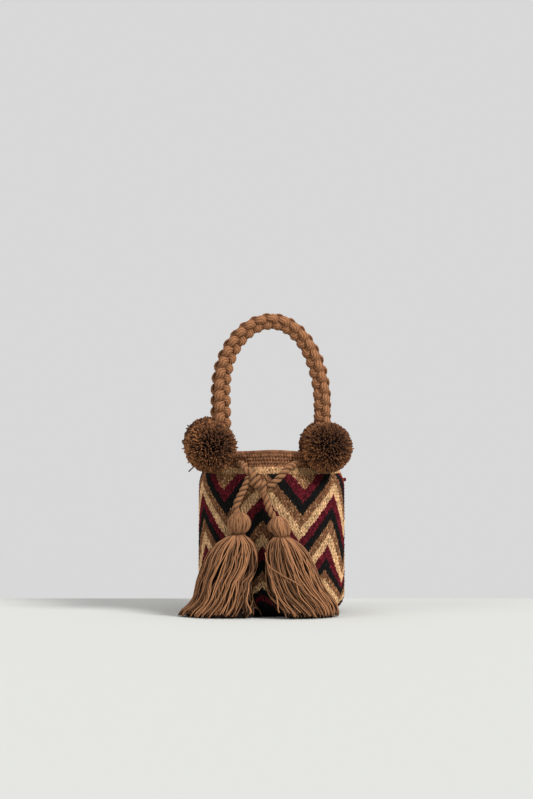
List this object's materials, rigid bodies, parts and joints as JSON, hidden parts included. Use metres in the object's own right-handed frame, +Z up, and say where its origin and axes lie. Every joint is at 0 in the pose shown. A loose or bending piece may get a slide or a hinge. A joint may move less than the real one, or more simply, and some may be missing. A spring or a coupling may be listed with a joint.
{
  "type": "wayuu mochila bag",
  "caption": "Small crocheted bucket bag with zigzag bands, a braided arch handle, pompoms at its feet and a drawstring ending in two tassels.",
  "frame": {"origin": "middle of the flat base, on the surface the bag stands on", "axes": "+Z up, +X to the right seen from the front, where the tassels hang; the front faces -Y"},
  "size_m": [0.2012, 0.215, 0.3597],
  "materials": {
    "crochet": "tapestry crochet in tan, burgundy, black and brown cotton yarn",
    "braid_yarn": "round braid of brown cotton yarn",
    "binding_yarn": "dark brown yarn",
    "pompom_yarn": "cut pile of dark brown yarn",
    "cord_yarn": "two-ply twisted brown cord",
    "tassel_yarn": "loose brown yarn",
    "wrap_yarn": "light brown yarn, wound"
  },
  "bodies": {
    "root": {"crocheted_body": "crochet", "handle_braid": "braid_yarn", "handle_whipping_left": "binding_yarn", "handle_whipping_right": "binding_yarn", "handle_stitches_left": "binding_yarn", "handle_stitches_right": "binding_yarn", "pompom_front_left": "pompom_yarn", "pompom_front_right": "pompom_yarn", "pompom_back_left": "pompom_yarn", "pompom_back_right": "pompom_yarn", "pompom_tie_front_left": "binding_yarn", "pompom_tie_front_right": "binding_yarn", "pompom_tie_back_left": "binding_yarn", "pompom_tie_back_right": "binding_yarn", "drawstring_mouth_run": "cord_yarn", "drawstring_left_end": "cord_yarn", "drawstring_right_end": "cord_yarn", "tassel_left": "tassel_yarn", "tassel_right": "tassel_yarn", "tassel_neck_wrap_left": "wrap_yarn", "tassel_neck_wrap_right": "wrap_yarn"}
  },
  "joints": []
}
